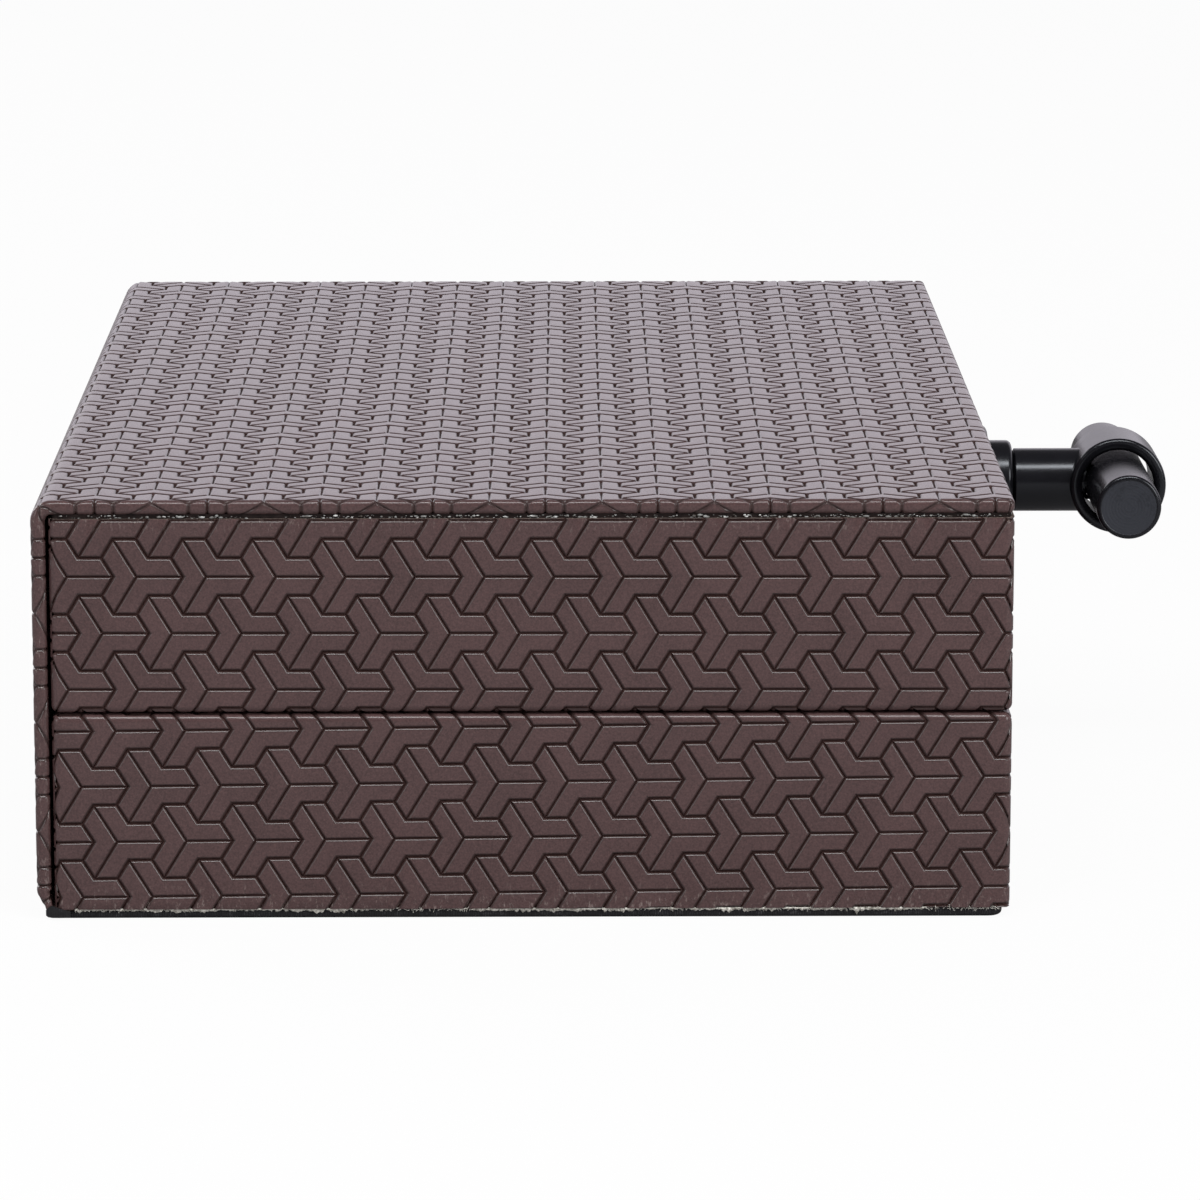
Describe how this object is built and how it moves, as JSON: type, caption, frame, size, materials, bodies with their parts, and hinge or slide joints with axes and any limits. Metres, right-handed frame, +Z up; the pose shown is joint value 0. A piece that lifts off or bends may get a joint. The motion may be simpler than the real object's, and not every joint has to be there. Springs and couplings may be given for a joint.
{
  "type": "storage box",
  "caption": "Book-style storage box in embossed brown leather: a lined lower tray and lid tray joined by a folding spine, with a black T-bar pull on the lid",
  "frame": {"origin": "middle of the closed case's footprint, on the table", "axes": "+X from the spine to the pull, +Y along the spine away from the pictured end, +Z up"},
  "size_m": [0.2454, 0.3, 0.0875],
  "materials": {
    "embossed_leather": "chocolate-brown embossed leather, soft sheen",
    "board": "dense board, bare",
    "lining_cloth": "black short-pile velvet",
    "base_cloth": "black bookcloth",
    "black_metal": "satin black",
    "fastener_steel": "zinc-plated steel",
    "magnet": "nickel-plated magnet"
  },
  "bodies": {
    "base": {"base_skin": "base_cloth", "base_board": "board", "hinge_tongue": "embossed_leather", "base_hinge_strip": "embossed_leather", "lower_front_wall": "board", "lower_back_wall": "board", "lower_hinge_wall": "board", "lower_handle_wall": "board", "lower_floor": "board", "lower_wrap": "embossed_leather", "lower_wall_lining": "lining_cloth", "lower_floor_lining": "lining_cloth", "lower_magnets": "magnet"},
    "spine": {"spine_board": "board", "spine_skin": "embossed_leather", "spine_lining": "lining_cloth", "lid_hinge_strip": "embossed_leather"},
    "lid": {"top_board": "board", "top_skin": "embossed_leather", "ceiling_lining": "lining_cloth", "upper_front_wall": "board", "upper_back_wall": "board", "upper_hinge_wall": "board", "upper_handle_wall": "board", "upper_wrap": "embossed_leather", "upper_wall_lining": "lining_cloth", "upper_magnets": "magnet", "handle_rosette": "black_metal", "handle_collar": "black_metal", "handle_stem": "black_metal", "handle_sleeve": "black_metal", "handle_bar": "black_metal", "handle_spacer": "black_metal", "handle_stud": "fastener_steel", "handle_screw": "fastener_steel", "handle_washer": "fastener_steel"}
  },
  "joints": [
    {"name": "spine_fold", "type": "hinge", "parent": "base", "child": "spine", "pos_m": [-0.098, 0, 0.0022], "axis": [0, -1, 0], "range_deg": [0, 90], "deforming": ["base_hinge_strip"]},
    {"name": "lid_open", "type": "hinge", "parent": "spine", "child": "lid", "pos_m": [-0.09856, 0, 0.08606], "axis": [0, -1, 0], "range_deg": [0, 90], "deforming": ["lid_hinge_strip"]}
  ]
}
